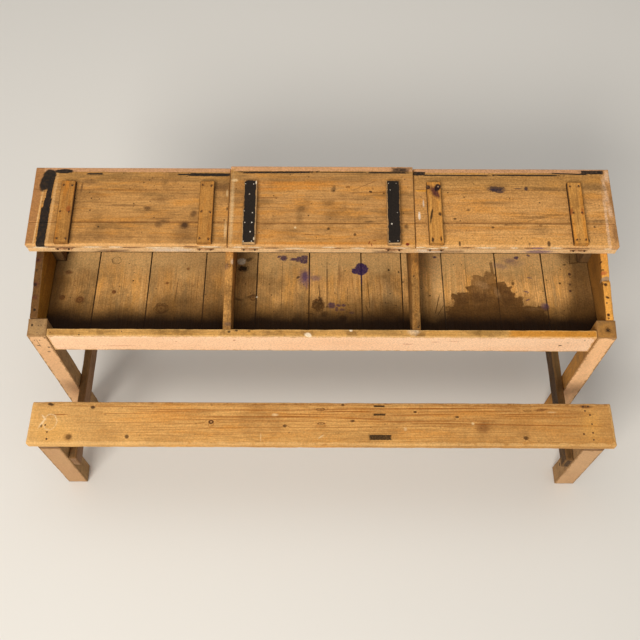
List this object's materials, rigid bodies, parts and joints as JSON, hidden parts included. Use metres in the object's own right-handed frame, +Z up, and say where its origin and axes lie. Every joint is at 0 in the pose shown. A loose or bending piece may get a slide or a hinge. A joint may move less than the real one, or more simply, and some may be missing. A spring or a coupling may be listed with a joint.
{
  "type": "school desk with bench",
  "caption": "Long wooden pupils' desk with a sloping lidded box, hinged lids folded back, and a plank bench tied to it by low side rails.",
  "frame": {"origin": "bottom centre of the box round the whole part with its lids folded back, on the floor", "axes": "+X along the bench to the sitter's right, +Y from the bench towards the desk's back, +Z up"},
  "size_m": [1.83, 0.7936, 0.7943],
  "materials": {
    "pink_paint": "old salmon-pink paint worn to the wood at edges",
    "side_pine": "dark bare pine",
    "floor_pine": "bare pine, brown with use and ink",
    "shelf_pine": "varnished pine, edges worn pale",
    "lid_pine": "bare honey-coloured pine underside",
    "batten_pine": "bare ochre pine",
    "black_paint": "black paint on pine",
    "seat_pine": "bare orange pine, polished by use",
    "hinge_iron": "dark rusted iron"
  },
  "bodies": {
    "desk": {"back_board": "pink_paint", "back_post_left": "pink_paint", "back_post_right": "pink_paint", "back_shelf": "shelf_pine", "bench_bearer_left": "pink_paint", "bench_bearer_right": "pink_paint", "bench_leg_left": "pink_paint", "bench_leg_right": "pink_paint", "bench_seat": "seat_pine", "divider_left": "side_pine", "divider_right": "side_pine", "floor_board_01": "floor_pine", "floor_board_02": "floor_pine", "floor_board_03": "floor_pine", "floor_board_04": "floor_pine", "floor_board_05": "floor_pine", "floor_board_06": "floor_pine", "floor_board_07": "floor_pine", "floor_board_08": "floor_pine", "floor_board_09": "floor_pine", "floor_board_10": "floor_pine", "floor_board_11": "floor_pine", "floor_ledger_back": "floor_pine", "floor_ledger_front": "floor_pine", "front_post_left": "pink_paint", "front_post_right": "pink_paint", "front_rail": "pink_paint", "lid_rest_centre": "shelf_pine", "lid_rest_left": "shelf_pine", "lid_rest_right": "shelf_pine", "runner_left": "pink_paint", "runner_right": "pink_paint", "shelf_hinge_leaf_centre_left": "hinge_iron", "shelf_hinge_leaf_centre_right": "hinge_iron", "shelf_hinge_leaf_left_left": "hinge_iron", "shelf_hinge_leaf_left_right": "hinge_iron", "shelf_hinge_leaf_right_left": "hinge_iron", "shelf_hinge_leaf_right_right": "hinge_iron", "side_board_left": "side_pine", "side_board_right": "side_pine"},
    "lid_left": {"lid_left_batten_left": "batten_pine", "lid_left_batten_right": "batten_pine", "lid_left_front_board": "lid_pine", "lid_left_hinge_leaf_left": "hinge_iron", "lid_left_hinge_leaf_right": "hinge_iron", "lid_left_rear_board": "lid_pine"},
    "lid_centre": {"lid_centre_batten_left": "black_paint", "lid_centre_batten_right": "black_paint", "lid_centre_front_board": "lid_pine", "lid_centre_hinge_leaf_left": "hinge_iron", "lid_centre_hinge_leaf_right": "hinge_iron", "lid_centre_rear_board": "lid_pine"},
    "lid_right": {"lid_right_batten_left": "batten_pine", "lid_right_batten_right": "batten_pine", "lid_right_front_board": "lid_pine", "lid_right_hinge_leaf_left": "hinge_iron", "lid_right_hinge_leaf_right": "hinge_iron", "lid_right_rear_board": "lid_pine"}
  },
  "joints": [
    {"name": "lid_left_hinge", "type": "hinge", "parent": "desk", "child": "lid_left", "pos_m": [-0.59575, 0.12081, 0.72628], "axis": [1, 0, 0], "range_deg": [0, 186.3]},
    {"name": "lid_centre_hinge", "type": "hinge", "parent": "desk", "child": "lid_centre", "pos_m": [-0.0015, 0.12081, 0.72628], "axis": [1, 0, 0], "range_deg": [0, 183.5]},
    {"name": "lid_right_hinge", "type": "hinge", "parent": "desk", "child": "lid_right", "pos_m": [0.59425, 0.12081, 0.72628], "axis": [1, 0, 0], "range_deg": [0, 186.3]}
  ]
}
